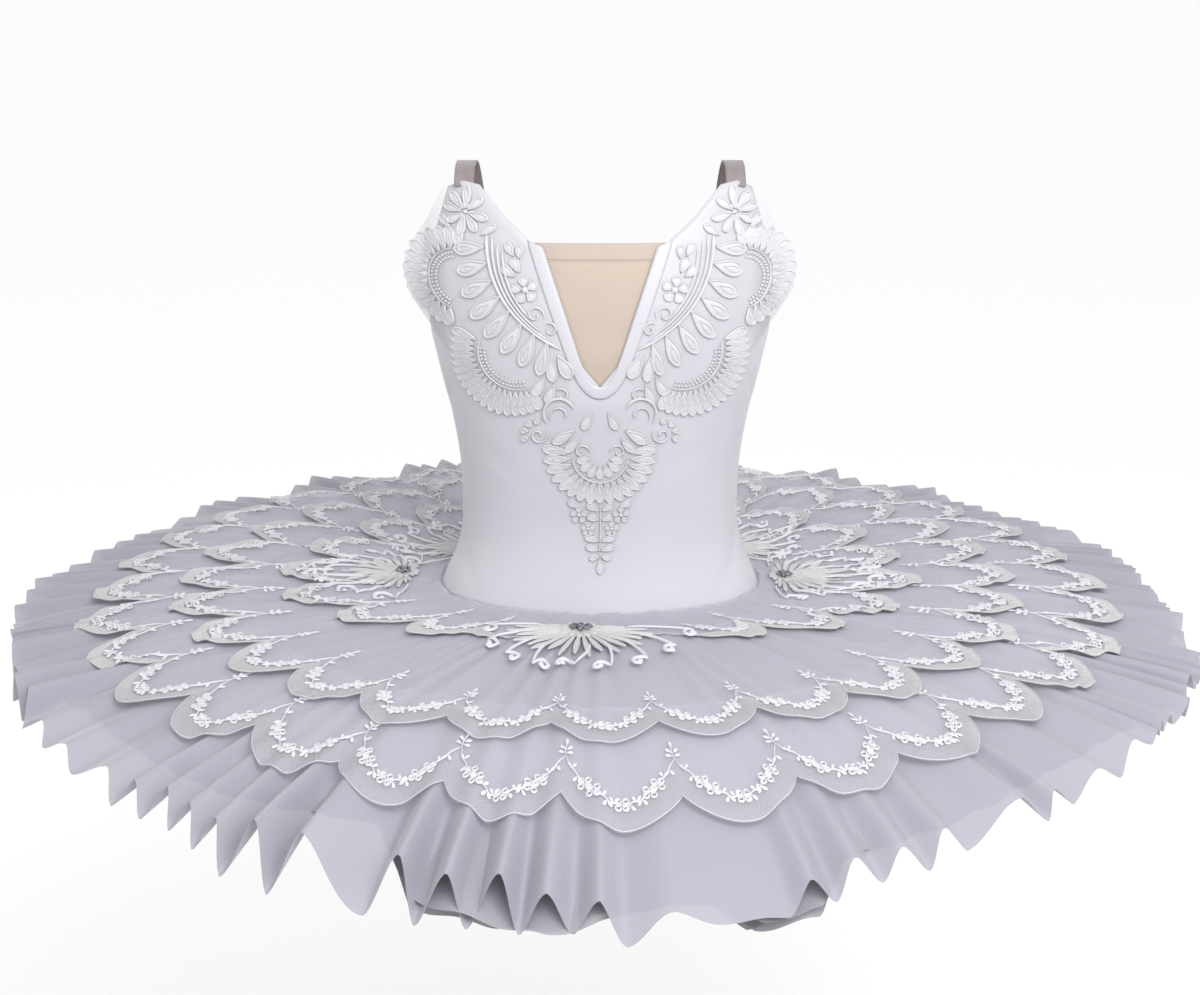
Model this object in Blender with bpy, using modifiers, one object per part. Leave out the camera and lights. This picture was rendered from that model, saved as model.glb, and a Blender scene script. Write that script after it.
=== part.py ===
"""A child's ballet tutu: stretch satin bodice and brief, with a flat plate of gathered stiff net.

Metres, +Z up, the front faces -Y. The origin is the middle of the waist. Angles round the body
start at the front and grow towards +X.
"""

import math

import bpy

# Driving sizes
HIP_HEIGHT = -0.064      # seam between the bodice and the brief, where the plate starts
SATIN_WALL = 0.0012
NET_WALL = 0.0010
LACE_WALL = 0.0010
SEAM_GAP = 0.0003
SIDE_SEAM_OFFSET = 2 * SEAM_GAP      # ahead of and behind the body's widest line
NET_ROOT_GAP = 2 * SEAM_GAP          # between the brief and the gathered edges
LAID_ON = 0.0021         # clearance under lace and binding, which rides over the panel's facets
BODY_ROUNDNESS = 2.25    # exponent of the body's sections, where 2 is an ellipse
PLATE_RADIUS = 0.440
PLEATS = 48
COLUMNS = 2 * PLEATS     # one on each ridge and one in each valley
PLEAT_DEPTH = 0.007
PLEAT_DEPTH_VARIES = 0.2
NET_LAYERS = 4
NET_ROOT_STEP = 0.010    # height between the gathered edges of two layers
RIM_WAVE = 0.004         # how far the rim swings in and out
RIM_WAVES = 7
SCALLOPS = 32
# The plate is level to a fraction of its radius, then turns down more and more steeply
DROOP_START = 0.70
DROOP = 0.020
DROOP_POWER = 1.4
# At the front the weight of the lace pulls it further down
FRONT_DROOP_START = 0.60
FRONT_DROOP = 0.036
FRONT_DROOP_ENDS = math.radians(58)

# The body's sections: height, half width, depth in front of the origin, depth behind it
TORSO = (
    (-0.064, 0.1215, 0.0840, 0.0880),
    (-0.057, 0.1195, 0.0828, 0.0862),
    (-0.036, 0.1095, 0.0780, 0.0780),
    (-0.018, 0.1045, 0.0752, 0.0710),
    (0.002, 0.1035, 0.0745, 0.0670),
    (0.026, 0.1037, 0.0765, 0.0655),
    (0.050, 0.1062, 0.0795, 0.0665),
    (0.074, 0.1105, 0.0828, 0.0700),
    (0.100, 0.1170, 0.0860, 0.0745),
    (0.127, 0.1230, 0.0880, 0.0780),
    (0.160, 0.1300, 0.0865, 0.0800),
    (0.185, 0.1315, 0.0820, 0.0800),
    (0.210, 0.1290, 0.0760, 0.0790),
    (0.230, 0.1250, 0.0690, 0.0760),
    (0.250, 0.1210, 0.0620, 0.0720),
)
# The brief's sections: height, half width of the body, depth in front, depth behind, half width of cloth
BRIEF = (
    (-0.0650, 0.1215, 0.0840, 0.0880, 0.1215),
    (-0.0850, 0.1225, 0.0835, 0.0905, 0.1225),
    (-0.1130, 0.1225, 0.0815, 0.0925, 0.1225),
    (-0.1350, 0.1215, 0.0790, 0.0915, 0.1030),
    (-0.1600, 0.1200, 0.0710, 0.0860, 0.0700),
    (-0.1820, 0.1200, 0.0530, 0.0690, 0.0470),
    (-0.1970, 0.1200, 0.0250, 0.0380, 0.0360),
    (-0.2020, 0.1200, 0.0004, 0.0004, 0.0320),
)
COMMON_ROWS = 0.100      # up to here the front's rows are level, and above it they follow its edge
# Top edge of half the front: distance from the middle, height. From the V neck over the
# shoulder tab and down the armhole; the side seam's top comes after the last.
FRONT_EDGE = (
    (0.0000, 0.1075),
    (0.0127, 0.1233),
    (0.0244, 0.1596),
    (0.0395, 0.2045),
    (0.0484, 0.2093),
    (0.0660, 0.2245),
    (0.0852, 0.2458),
    (0.0965, 0.2478),
    (0.1080, 0.2430),
    (0.1150, 0.2200),
    (0.1245, 0.1850),
    (0.1250, 0.1620),
    (0.1235, 0.1410),
)
UNDERARM_HEIGHT = 0.127
# Top edge of half the back: angle from the middle of the back, height
BACK_EDGE = ((90, 0.127), (74, 0.133), (58, 0.154), (46, 0.155), (38, 0.135), (26, 0.108), (0, 0.092))
# Half of the binding's two edges: inner distance, inner height, outer distance, outer height
V_BINDING = (
    (0.0000, 0.1075, 0.0000, 0.0985),
    (0.0127, 0.1233, 0.0195, 0.1178),
    (0.0244, 0.1596, 0.0330, 0.1568),
    (0.0395, 0.2045, 0.0481, 0.2016),
)
# The nude panel in the V: height, half width
NECK_INSERT = ((0.1020, 0.0080), (0.1233, 0.0190), (0.1596, 0.0310), (0.1958, 0.0430))
NECK_INSERT_BAND = ((0.1961, 0.0431), (0.2080, 0.0470))
# One side's chest lace: height, distance of its inner edge, distance of its outer edge
CHEST_LACE = (
    (0.0790, 0.0540, 0.0700),
    (0.0880, 0.0420, 0.0830),
    (0.1000, 0.0240, 0.0950),
    (0.1140, 0.0200, 0.1060),
    (0.1300, 0.0260, 0.1190),
    (0.1460, 0.0310, 0.1310),
    (0.1660, 0.0375, 0.1390),
    (0.1870, 0.0445, 0.1415),
    (0.2050, 0.0500, 0.1330),
    (0.2200, 0.0620, 0.1220),
    (0.2350, 0.0760, 0.1140),
    (0.2450, 0.0850, 0.1090),
)
WING_START = 0.1240      # past this the lace stands clear of the body, as a stiff edge
WING_SLOPE = 0.75        # how far back it runs for each metre sideways
# The lace below the V: height, half width
CENTRE_LACE = (
    (-0.0310, 0.0030),
    (-0.0180, 0.0110),
    (0.0040, 0.0170),
    (0.0190, 0.0270),
    (0.0360, 0.0400),
    (0.0540, 0.0430),
    (0.0720, 0.0500),
    (0.0860, 0.0340),
    (0.0965, 0.0120),
)
STRAP_WIDTH = 0.014
# The strap's run over the shoulder: distance from the middle, depth, height
STRAP = (
    (0.0962, -0.0415, 0.2490),
    (0.0962, -0.0210, 0.2560),
    (0.0955, 0.0020, 0.2580),
    (0.0945, 0.0220, 0.2500),
    (0.0925, 0.0420, 0.2290),
    (0.0905, 0.0560, 0.1980),
    (0.0890, 0.0625, 0.1570),
)
NET_REACH = (0.440, 0.437, 0.424, 0.400)     # rim radius of each layer, the top one first
NET_RIM_STEP = 0.008
TOP_NET_ROWS = (0.0, 0.40, 0.74, 1.0)        # fractions of the way from the hip to the rim
LOWER_NET_ROWS = (0.0, 1.0)
# The lace tiers: name, start, valley and tip of the scallops as fractions of the plate's
# radius, how far each lies above the net at its start, its valleys and its tips, and how much
# shorter it is at the middle of the front
LACE_TIERS = (
    ("lace_tier_outer", 0.60, 0.800, 0.885, 0.0020, 0.0065, 0.0040, 0.0),
    ("lace_tier_middle", 0.44, 0.645, 0.730, 0.0050, 0.0120, 0.0100, 0.0),
    ("lace_tier_inner", 0.00, 0.475, 0.560, 0.0025, 0.0130, 0.0100, 0.2),
)
SETTLES_FROM = 0.6       # cosine of the angle within which the shortened edge comes down on the net
OUTER_TIER_BEND = 0.74                       # share of the way to the rim where the plate turns down
# The medallions: angle in degrees, distance from the hip seam to the middle, sideways reach
MEDALLIONS = (
    (356, 0.031, 0.062),
    (91, 0.019, 0.045),
    (137, 0.019, 0.045),
    (180, 0.019, 0.045),
    (223, 0.019, 0.045),
    (265, 0.030, 0.045),
)
MEDALLION_FAR = 0.074                        # outwards
MEDALLION_NEAR = 0.012                       # back towards the bodice
MEDALLION_HEIGHTS = (0.0080, 0.0150)         # above the hip seam, at its middle and at its edge
MEDALLION_POINTS = 18
GEM_RADIUS = 0.0055
GEM_HEIGHT = 0.0035
GEM_LIFT = 0.0032        # over the rising embroidery


def clear_scene():
    """Removes what the file opened with."""
    for leftover in list(bpy.data.objects):
        bpy.data.objects.remove(leftover, do_unlink=True)


def cloth_material(name, colour, roughness, metallic=0.0):
    material = bpy.data.materials.new(name)
    material.use_nodes = True
    shader = material.node_tree.nodes["Principled BSDF"]
    shader.inputs["Base Color"].default_value = (*colour, 1.0)
    shader.inputs["Roughness"].default_value = roughness
    shader.inputs["Metallic"].default_value = metallic
    return material


def section_at(height, table):
    """The row of sizes at a height, read between two rows of a table that is sorted upwards."""
    for lower, upper in zip(table, table[1:]):
        if height <= upper[0]:
            share = max(0.0, (height - lower[0]) / (upper[0] - lower[0]))
            return [a + share * (b - a) for a, b in zip(lower, upper)]
    return list(table[-1])


def round_body(angle, half_width, front, back, out=0.0):
    """Depthwise and sideways place of a point on a rounded section, moved out by a distance."""
    power = 2 / BODY_ROUNDNESS
    side, ahead = math.sin(angle), math.cos(angle)
    depth = (front if ahead > 0 else back) + out
    return (
        math.copysign(abs(side) ** power, side) * (half_width + out),
        -math.copysign(abs(ahead) ** power, ahead) * depth,
    )


def angle_at(distance, half_width):
    return math.asin(min(1.0, (distance / half_width) ** (BODY_ROUNDNESS / 2)))


def torso_point(angle, height, out=0.0):
    _, half_width, front, back = section_at(height, TORSO)
    x, y = round_body(angle, half_width, front, back, out)
    return (x, y, height)


def front_point(distance, height, out=0.0):
    """A point on the front by its distance from the middle; past the wing's start it stands off."""
    _, half_width, _, _ = section_at(height, TORSO)
    on_body = min(distance, min(WING_START, half_width))
    x, y, z = torso_point(angle_at(on_body, half_width), height, out)
    return (x + distance - on_body, y + (distance - on_body) * WING_SLOPE, z)


def sheet(name, rows, thickness, material, closed=False, side=1, mirror=False, offset=-1.0):
    """A wall of cloth through rows of points. The rows run upwards or outwards."""
    wide = len(rows[0])
    points = [(side * x, y, z) for row in rows for x, y, z in row]
    faces = []
    for low in range(len(rows) - 1):
        for column in range(wide if closed else wide - 1):
            after = (column + 1) % wide
            corners = [
                low * wide + column,
                low * wide + after,
                (low + 1) * wide + after,
                (low + 1) * wide + column,
            ]
            faces.append(corners if side > 0 else corners[::-1])
    mesh = bpy.data.meshes.new(name)
    mesh.from_pydata(points, [], faces)
    mesh.materials.append(material)
    piece = bpy.data.objects.new(name, mesh)
    tutu.objects.link(piece)
    if mirror:
        halves = piece.modifiers.new("Other half", "MIRROR")
        halves.merge_threshold = 1e-5
    wall = piece.modifiers.new("Wall", "SOLIDIFY")
    wall.thickness = thickness
    wall.offset = offset
    mesh.shade_smooth()


def seam_angle(depth):
    """The side seam's angle on a section of this depth, just short of the body's widest line."""
    return math.acos((SIDE_SEAM_OFFSET / depth) ** (BODY_ROUNDNESS / 2))


def bodice_front():
    columns = [
        (angle_at(distance, section_at(top, TORSO)[1]), top) for distance, top in FRONT_EDGE
    ]
    columns.append((seam_angle(section_at(UNDERARM_HEIGHT, TORSO)[2]), UNDERARM_HEIGHT))
    level = [row[0] for row in TORSO if row[0] <= COMMON_ROWS]
    rows = [[torso_point(angle, height) for angle, _ in columns] for height in level]
    for share in (0.2, 0.4, 0.6, 0.8, 1.0):
        rows.append(
            [torso_point(angle, COMMON_ROWS + share * (top - COMMON_ROWS)) for angle, top in columns]
        )
    sheet("bodice_front", rows, SATIN_WALL, satin, mirror=True)


def bodice_back():
    columns = [(math.radians(180 - behind), top) for behind, top in BACK_EDGE]
    columns[0] = (math.pi - seam_angle(section_at(UNDERARM_HEIGHT, TORSO)[3]), UNDERARM_HEIGHT)
    level = [row[0] for row in TORSO if row[0] < 0.08]
    rows = [[torso_point(angle, height) for angle, _ in columns] for height in level]
    rows.append([torso_point(angle, (level[-1] + top) / 2) for angle, top in columns])
    rows.append([torso_point(angle, top) for angle, top in columns])
    sheet("bodice_back", rows, SATIN_WALL, satin, mirror=True)


def brief_half(name, sign):
    """The brief's front (sign 1) or back (sign -1): full at the hip, cut away to a narrow crotch."""
    steps = 6
    rows = []
    for height, half_width, front, back, cloth in BRIEF:
        edge = angle_at(cloth, half_width)
        if cloth == half_width:
            edge = seam_angle(front if sign > 0 else back)
        shares = [step / steps for step in range(steps + 1)]
        angles = [edge * share if sign > 0 else math.pi - edge * (1 - share) for share in shares]
        rows.append([(*round_body(angle, half_width, front, back), height) for angle in angles])
    sheet(name, rows[::-1], SATIN_WALL, satin, mirror=True)


def neck_pieces():
    inside = -(SATIN_WALL + LAID_ON)
    for name, table in (("neck_insert", NECK_INSERT), ("neck_insert_band", NECK_INSERT_BAND)):
        rows = [
            [front_point(wide * share / 3, height, inside) for share in range(4)]
            for height, wide in table
        ]
        sheet(name, rows, NET_WALL, nude_stretch, mirror=True)
    rows = [
        [front_point(outer_x, outer_z, LACE_WALL + LAID_ON) for _, _, outer_x, outer_z in V_BINDING],
        [front_point(inner_x, inner_z, LACE_WALL + LAID_ON) for inner_x, inner_z, _, _ in V_BINDING],
    ]
    sheet("neck_binding", rows, LACE_WALL, satin, mirror=True)


def strap(name, side):
    half = STRAP_WIDTH / 2
    rows = [[(x - half, y, z), (x + half, y, z)] for x, y, z in STRAP]
    sheet(name, rows, NET_WALL, nude_elastic, side=side)


def chest_lace(name, side):
    steps = 6
    shares = [math.sin(math.pi / 2 * step / steps) for step in range(steps + 1)]
    rows = [
        [
            front_point(inner + (outer - inner) * share, height, LACE_WALL + LAID_ON)
            for share in shares
        ]
        for height, inner, outer in CHEST_LACE
    ]
    sheet(name, rows, LACE_WALL, lace, side=side)


def centre_lace():
    rows = [
        [front_point(wide * share / 2, height, LACE_WALL + LAID_ON) for share in range(3)]
        for height, wide in CENTRE_LACE
    ]
    sheet("centre_lace", rows, LACE_WALL, lace, mirror=True)


def front_share(angle):
    """1 at the front, easing to 0 at the ends of the drooping stretch."""
    away = abs(math.remainder(angle, 2 * math.pi))
    return 0.5 + 0.5 * math.cos(math.pi * min(1.0, away / FRONT_DROOP_ENDS))


def plate_drop(reach, angle):
    """How far the plate has come down at a fraction of its radius."""
    late = max(0.0, (reach - DROOP_START) / (1 - DROOP_START))
    ahead = max(0.0, (reach - FRONT_DROOP_START) / (1 - FRONT_DROOP_START))
    return DROOP * late**DROOP_POWER + FRONT_DROOP * front_share(angle) * ahead**2


def column_angle(column):
    """The pleats are gathered by hand, so they are not all the same width."""
    even = 2 * math.pi * column / COLUMNS
    return even + 0.006 * math.sin(5.0 * even) + 0.004 * math.sin(11.0 * even + 1.0)


def pleat(column):
    """Height of a ridge or a valley as a share of the pleats' depth."""
    size = 1 - PLEAT_DEPTH_VARIES + PLEAT_DEPTH_VARIES * math.sin(1.7 * column)
    return size if column % 2 else -size


def plate_point(column, share, layer, lift=0.0):
    """A point of a net layer: share runs from the gathered edge at the hip to the rim."""
    angle = column_angle(column)
    root_height = HIP_HEIGHT - NET_ROOT_STEP * layer
    sizes = section_at(root_height, BRIEF[::-1])
    root_x, root_y = round_body(angle, sizes[1], sizes[2], sizes[3], NET_ROOT_GAP)
    reach = NET_REACH[layer] + RIM_WAVE * math.sin(RIM_WAVES * angle + 0.8)
    x = root_x + share * (reach * math.sin(angle) - root_x)
    y = root_y + share * (-reach * math.cos(angle) - root_y)
    hang = root_height - plate_drop(math.hypot(x, y) / NET_REACH[layer], angle)
    gather = (NET_ROOT_STEP - NET_RIM_STEP) * layer * share
    return (x, y, hang + gather + pleat(column) * PLEAT_DEPTH * share**2 + lift)


def share_at(column, fraction):
    """The share of the way to the rim at which a column passes a fraction of the plate's radius."""
    low, high = 0.0, 1.0
    for _ in range(30):
        middle = (low + high) / 2
        x, y, _ = plate_point(column, middle, 0)
        if math.hypot(x, y) < fraction * PLATE_RADIUS:
            low = middle
        else:
            high = middle
    return low


def net_layer(layer):
    shares = TOP_NET_ROWS if layer == 0 else LOWER_NET_ROWS
    rows = [[plate_point(column, share, layer) for column in range(COLUMNS)] for share in shares]
    sheet(f"net_layer_{layer + 1}", rows[::-1], NET_WALL, net, closed=True)


def lace_tier(name, start, valley, tip, start_lift, valley_lift, tip_lift, front_short):
    inner, bend, outer = [], [], []
    per_scallop = COLUMNS // SCALLOPS
    for column in range(COLUMNS):
        reach, lift = (valley, valley_lift) if column % per_scallop == 0 else (tip, tip_lift)
        if front_short:
            ahead = max(0.0, math.cos(column_angle(column)))
            reach -= front_short * ahead
            lift += (start_lift - lift) * max(0.0, (ahead - SETTLES_FROM) / (1 - SETTLES_FROM))
        inner.append(plate_point(column, share_at(column, start), 0, start_lift))
        bend.append(plate_point(column, OUTER_TIER_BEND, 0, start_lift))
        outer.append(plate_point(column, share_at(column, reach), 0, lift))
    rows = [outer, bend, inner] if start < OUTER_TIER_BEND < valley else [outer, inner]
    sheet(name, rows, LACE_WALL, lace, closed=True)


def medallion(number, degrees, out, wide):
    """A fan of embroidery beside the hip, and the stones at its middle."""
    angle = math.radians(degrees)
    _, half_width, front, back = TORSO[0]
    hip_x, hip_y = round_body(angle, half_width, front, back)
    outwards = (math.sin(angle), -math.cos(angle))
    middle = [hip_x + out * outwards[0], hip_y + out * outwards[1]]
    low, high = MEDALLION_HEIGHTS
    rings = [[], []]
    for point in range(MEDALLION_POINTS):
        turn = 2 * math.pi * point / MEDALLION_POINTS
        along = math.cos(turn) * (MEDALLION_FAR if math.cos(turn) > 0 else MEDALLION_NEAR)
        across = math.sin(turn) * wide
        for ring, share in zip(rings, (1.0, 0.12)):
            x = middle[0] + share * (along * outwards[0] - across * outwards[1])
            y = middle[1] + share * (along * outwards[1] + across * outwards[0])
            ring.append((x, y, HIP_HEIGHT + low + (high - low) * share))
    sheet(f"medallion_{number}", rings, LACE_WALL, lace, closed=True)
    return (*middle, HIP_HEIGHT + low)


def gem(number, place):
    bpy.ops.mesh.primitive_cone_add(
        vertices=8,
        radius1=GEM_RADIUS,
        radius2=GEM_RADIUS * 0.6,
        depth=GEM_HEIGHT,
        location=(place[0], place[1], place[2] + GEM_LIFT + GEM_HEIGHT / 2),
    )
    stone = bpy.context.object
    stone.name = f"gem_{number}"
    stone.data.materials.append(rhinestone)
    for collection in list(stone.users_collection):
        collection.objects.unlink(stone)
    tutu.objects.link(stone)


clear_scene()
tutu = bpy.data.collections.new("Ballet tutu")
bpy.context.scene.collection.children.link(tutu)

satin = cloth_material("bodice satin", (0.78, 0.77, 0.82), 0.38)
nude_stretch = cloth_material("nude stretch", (0.74, 0.60, 0.49), 0.6)
nude_elastic = cloth_material("nude elastic", (0.56, 0.42, 0.40), 0.55)
net = cloth_material("stiff net", (0.60, 0.59, 0.67), 0.7)
lace = cloth_material("corded lace", (0.84, 0.83, 0.84), 0.6)
rhinestone = cloth_material("rhinestone", (0.25, 0.25, 0.28), 0.1, 0.6)

bodice_front()
bodice_back()
brief_half("brief_front", 1)
brief_half("brief_back", -1)
neck_pieces()
for strap_name, strap_side in (("strap_left", 1), ("strap_right", -1)):
    strap(strap_name, strap_side)
for lace_name, lace_side in (("chest_lace_left", 1), ("chest_lace_right", -1)):
    chest_lace(lace_name, lace_side)
centre_lace()
for net_number in range(NET_LAYERS):
    net_layer(net_number)
for tier in LACE_TIERS:
    lace_tier(*tier)
for medallion_number, sizes_of_medallion in enumerate(MEDALLIONS, 1):
    gem(medallion_number, medallion(medallion_number, *sizes_of_medallion))
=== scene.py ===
"""A child's ballet tutu: satin bodice with corded lace, over a flat plate of pleated net."""

import math

import bpy
import numpy as np
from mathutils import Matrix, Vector


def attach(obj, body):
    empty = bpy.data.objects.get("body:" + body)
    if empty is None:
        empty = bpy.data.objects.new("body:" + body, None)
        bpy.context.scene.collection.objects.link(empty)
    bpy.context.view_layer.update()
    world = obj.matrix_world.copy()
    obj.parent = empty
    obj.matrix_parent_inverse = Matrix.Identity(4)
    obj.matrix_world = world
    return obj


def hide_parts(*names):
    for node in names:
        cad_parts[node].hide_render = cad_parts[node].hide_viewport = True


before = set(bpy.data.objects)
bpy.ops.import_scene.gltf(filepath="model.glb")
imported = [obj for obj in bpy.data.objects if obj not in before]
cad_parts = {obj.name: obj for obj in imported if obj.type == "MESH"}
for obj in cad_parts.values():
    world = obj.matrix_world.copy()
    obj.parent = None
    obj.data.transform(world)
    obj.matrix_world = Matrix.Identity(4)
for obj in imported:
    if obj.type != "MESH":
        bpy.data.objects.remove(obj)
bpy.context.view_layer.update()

# ---------------------------------------------------------------------------------------------
# Studio: a pale floor far below the tutu, an even white surround, a soft key from the front
# and a weak fill. The camera looks slightly down on the front.
# ---------------------------------------------------------------------------------------------
studio = bpy.data.worlds.new("white studio")
studio.use_nodes = True
studio.node_tree.nodes["Background"].inputs["Color"].default_value = (1.0, 1.0, 1.0, 1.0)
studio.node_tree.nodes["Background"].inputs["Strength"].default_value = 1.0
bpy.context.scene.world = studio
bpy.context.scene.view_settings.view_transform = "Standard"

camera_data = bpy.data.cameras.new("camera")
camera_data.lens = 60.5
camera_data.sensor_width = 36.0
camera = bpy.data.objects.new("camera", camera_data)
camera.location = (0.0, -1.473, 0.4146)
camera.rotation_euler = (math.radians(90.0 - 15.59), 0.0, 0.0)
bpy.context.scene.collection.objects.link(camera)
bpy.context.scene.camera = camera

FLOOR_HEIGHT = -0.80
FLOOR_SIDE = 160.0
bpy.ops.mesh.primitive_plane_add(size=FLOOR_SIDE, location=(0, 0, FLOOR_HEIGHT))
floor = bpy.context.object
floor.name = "floor"
floor_paint = bpy.data.materials.new("floor paint")
floor_paint.use_nodes = True
floor_paint.node_tree.nodes["Principled BSDF"].inputs["Base Color"].default_value = (0.97, 0.97, 0.97, 1)
floor_paint.node_tree.nodes["Principled BSDF"].inputs["Roughness"].default_value = 0.9
floor.data.materials.append(floor_paint)

# name, place, size in metres, watts
LIGHTS = (
    ("key", (0.46, -1.22, 0.95), 0.9, 20.0),
    ("fill", (-1.4, -1.2, 0.8), 1.2, 2.0),
)
for name, place, size, watts in LIGHTS:
    lamp_data = bpy.data.lights.new(name, "AREA")
    lamp_data.size = size
    lamp_data.energy = watts
    lamp = bpy.data.objects.new(name, lamp_data)
    lamp.location = place
    lamp.rotation_euler = Vector(place).to_track_quat("Z", "Y").to_euler()
    bpy.context.scene.collection.objects.link(lamp)

# ---------------------------------------------------------------------------------------------
# Bodice: two panels of white stretch satin, cut low in a V at the front and in a scoop at the
# back, and sewn at the sides. There is no waist seam, so the satin runs smooth to the hips,
# with only a few soft drag lines.
# ---------------------------------------------------------------------------------------------
HIP = -0.064
SATIN_WALL = 0.0012
SEAM_GAP = 0.0003
ROUND = 2 / 2.25          # power of sine and cosine round the body's sections
# height, half width, depth in front, depth behind
TORSO = (
    (-0.064, 0.1215, 0.0840, 0.0880),
    (-0.057, 0.1195, 0.0828, 0.0862),
    (-0.036, 0.1095, 0.0780, 0.0780),
    (-0.018, 0.1045, 0.0752, 0.0710),
    (0.002, 0.1035, 0.0745, 0.0670),
    (0.026, 0.1037, 0.0765, 0.0655),
    (0.050, 0.1062, 0.0795, 0.0665),
    (0.074, 0.1105, 0.0828, 0.0700),
    (0.100, 0.1170, 0.0860, 0.0745),
    (0.127, 0.1230, 0.0880, 0.0780),
    (0.160, 0.1300, 0.0865, 0.0800),
    (0.185, 0.1315, 0.0820, 0.0800),
    (0.210, 0.1290, 0.0760, 0.0790),
    (0.230, 0.1250, 0.0690, 0.0760),
    (0.250, 0.1210, 0.0620, 0.0720),
)
fine_heights = np.arange(-0.064, 0.2605, 0.0005)
EASE = 24                 # steps over which one section runs into the next


def looked_up(value, table, column=1):
    """Reads a column of a table by its first one."""
    table = np.array(table)
    return np.interp(value, table[:, 0], table[:, column])


def eased(column):
    window = np.hanning(2 * EASE + 1)
    drawn = looked_up(fine_heights, TORSO, column)
    first, last = drawn[1] - drawn[0], drawn[-1] - drawn[-2]
    run = np.arange(1, EASE + 1)
    drawn = np.concatenate([drawn[0] - first * run[::-1], drawn, drawn[-1] + last * run])
    return np.convolve(drawn, window / window.sum(), "valid")


half_widths, front_depths, back_depths = eased(1), eased(2), eased(3)
# Soft drag lines in the satin: angle from the front and height of the middle, slope, half
# length, half width and depth
CREASES = (
    (62, -0.034, 0.9, 0.026, 0.0035, 0.0010),
    (74, -0.020, 1.1, 0.020, 0.0030, 0.0009),
    (48, -0.046, 0.5, 0.022, 0.0035, 0.0008),
    (-58, -0.040, -0.8, 0.024, 0.0035, 0.0009),
    (-76, -0.024, -1.0, 0.018, 0.0030, 0.0008),
    (34, 0.052, 0.5, 0.030, 0.0050, 0.0005),
    (-40, 0.048, -0.6, 0.028, 0.0050, 0.0005),
    (70, 0.096, -0.7, 0.024, 0.0045, 0.0008),
    (-72, 0.092, 0.7, 0.024, 0.0045, 0.0008),
    (118, -0.030, -0.7, 0.024, 0.0035, 0.0009),
    (-124, -0.036, 0.8, 0.022, 0.0035, 0.0009),
    (150, 0.030, 0.5, 0.030, 0.0050, 0.0006),
    (-158, 0.045, -0.4, 0.026, 0.0050, 0.0006),
)


def body_point(angle, height, out=0.0, section=None):
    """Points round the body. A section gives half width and both depths in place of the torso's."""
    angle, height, out = np.broadcast_arrays(angle, height, out)
    if section is None:
        section = [np.interp(height, fine_heights, c) for c in (half_widths, front_depths, back_depths)]
    side, ahead = np.sin(angle), np.cos(angle)
    depth = np.where(ahead > 0, section[1], section[2]) + out
    x = np.sign(side) * np.abs(side) ** ROUND * (section[0] + out)
    y = -np.sign(ahead) * np.abs(ahead) ** ROUND * depth
    return np.stack([x, y, height * 1.0], -1)


def angle_at(distance, height):
    half = np.interp(height, fine_heights, half_widths)
    return np.arcsin(np.minimum(1.0, (np.abs(distance) / half) ** (1 / ROUND)))


def satin_give(angle, height):
    """How far the satin falls in at its drag lines."""
    fall = 0.0
    for degrees, middle, slope, length, width, depth in CREASES:
        around = math.remainder(math.radians(degrees), 2 * math.pi)
        across = (np.arctan2(np.sin(angle - around), np.cos(angle - around))) * 0.10
        up = height - middle
        lean = math.hypot(1, slope)
        along, off = (across + slope * up) / lean, (up - slope * across) / lean
        fall = fall - depth * np.exp(-((off / width) ** 2) - (along / length) ** 2)
    return fall


def cloth(name, grid, finish, closed=False, size=None, wall=0.0):
    """A sheet of cloth through a grid of points whose rows run upwards or outwards. size is the
    cloth's flat place at each point, in metres, for its weave."""
    rows, columns = grid.shape[:2]
    across = columns if closed else columns - 1
    low, left = np.meshgrid(np.arange(rows - 1), np.arange(across), indexing="ij")
    right = (left + 1) % columns
    corners = [low * columns + left, low * columns + right]
    corners += [(low + 1) * columns + right, (low + 1) * columns + left]
    mesh = bpy.data.meshes.new(name)
    mesh.from_pydata(grid.reshape(-1, 3).tolist(), [], np.stack(corners, -1).reshape(-1, 4).tolist())
    if size is None:
        steps = np.linalg.norm(np.diff(grid, axis=1), axis=-1).mean(0)
        rises = np.linalg.norm(np.diff(grid, axis=0), axis=-1).mean(1)
        size = np.zeros((rows, columns, 2))
        size[:, 1:, 0] = np.cumsum(steps)
        size[1:, :, 1] = np.cumsum(rises)[:, None]
    if closed:
        step = size[:, 1:2] - size[:, 0:1]
        size = np.concatenate([size, size[:, -1:] + step], 1)
    flat = np.stack([size[low, left], size[low, left + 1], size[low + 1, left + 1], size[low + 1, left]], 2)
    mesh.uv_layers.new(name="cut").data.foreach_set("uv", flat.reshape(-1).astype(np.float32))
    mesh.materials.append(finish)
    mesh.shade_smooth()
    piece = bpy.data.objects.new(name + "_cloth", mesh)
    bpy.context.scene.collection.objects.link(piece)
    if wall:
        thickness = piece.modifiers.new("wall", "SOLIDIFY")
        thickness.thickness = wall
        thickness.offset = -1.0
    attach(piece, "root")
    return piece


def new_finish(name, colour, roughness, sheen=0.0):
    """A material with the nodes that its weave is added to."""
    finish = bpy.data.materials.new(name)
    finish.use_nodes = True
    shader = finish.node_tree.nodes["Principled BSDF"]
    shader.inputs["Base Color"].default_value = (*colour, 1.0)
    shader.inputs["Roughness"].default_value = roughness
    shader.inputs["Sheen Weight"].default_value = sheen
    shader.inputs["Sheen Roughness"].default_value = 0.4
    return finish, finish.node_tree, shader


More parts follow.
